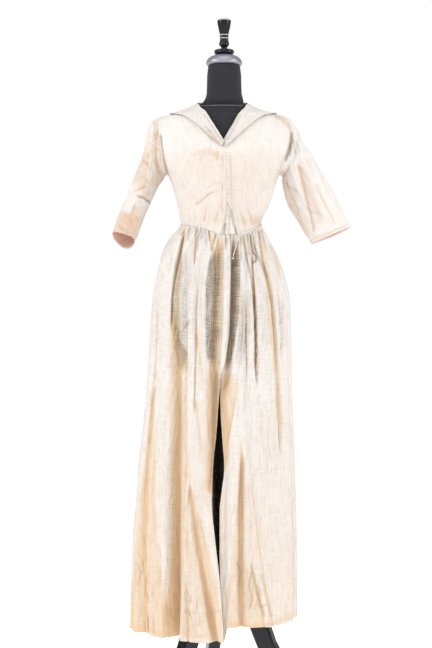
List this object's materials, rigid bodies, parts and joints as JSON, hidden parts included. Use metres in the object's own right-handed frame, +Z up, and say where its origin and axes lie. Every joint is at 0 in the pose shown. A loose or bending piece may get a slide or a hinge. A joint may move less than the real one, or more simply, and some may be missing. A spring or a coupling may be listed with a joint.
{
  "type": "regency gown on a dress form",
  "caption": "Ivory muslin gown with a V neck, turned-down collar, elbow sleeves and a gathered open-front skirt, on a limbless black dress form with a turned column and splayed legs.",
  "frame": {"origin": "on the floor, below the middle of the whole object's box", "axes": "+Z up, the gown's front faces -Y, +X is towards the viewer's right when facing the front"},
  "size_m": [0.6416, 0.4485, 1.829],
  "materials": {
    "ivory_muslin": "matt, semi-sheer, fine woven stripes",
    "salmon_lining": "matt",
    "ivory_cord": "matt",
    "black_jersey": "matt",
    "silver_cap": "satin",
    "black_lacquer": "gloss lacquer"
  },
  "bodies": {
    "root": {"bodice_front_left": "ivory_muslin", "bodice_front_right": "ivory_muslin", "bodice_back": "ivory_muslin", "collar": "ivory_muslin", "sleeve_left": "ivory_muslin", "sleeve_right": "ivory_muslin", "cuff_lining_left": "salmon_lining", "cuff_lining_right": "salmon_lining", "skirt_front_left": "ivory_muslin", "skirt_front_right": "ivory_muslin", "skirt_back_left": "ivory_muslin", "skirt_back_right": "ivory_muslin", "inner_tab": "ivory_muslin", "tie_right": "ivory_cord", "tie_right_knot": "ivory_cord", "tie_centre": "ivory_cord", "tie_centre_knot": "ivory_cord", "form_torso": "black_jersey", "form_neck": "black_jersey", "neck_cap": "silver_cap", "finial": "black_lacquer", "column": "black_lacquer", "hub": "black_lacquer", "leg_right": "black_lacquer", "leg_left": "black_lacquer", "leg_back": "black_lacquer"}
  },
  "joints": []
}
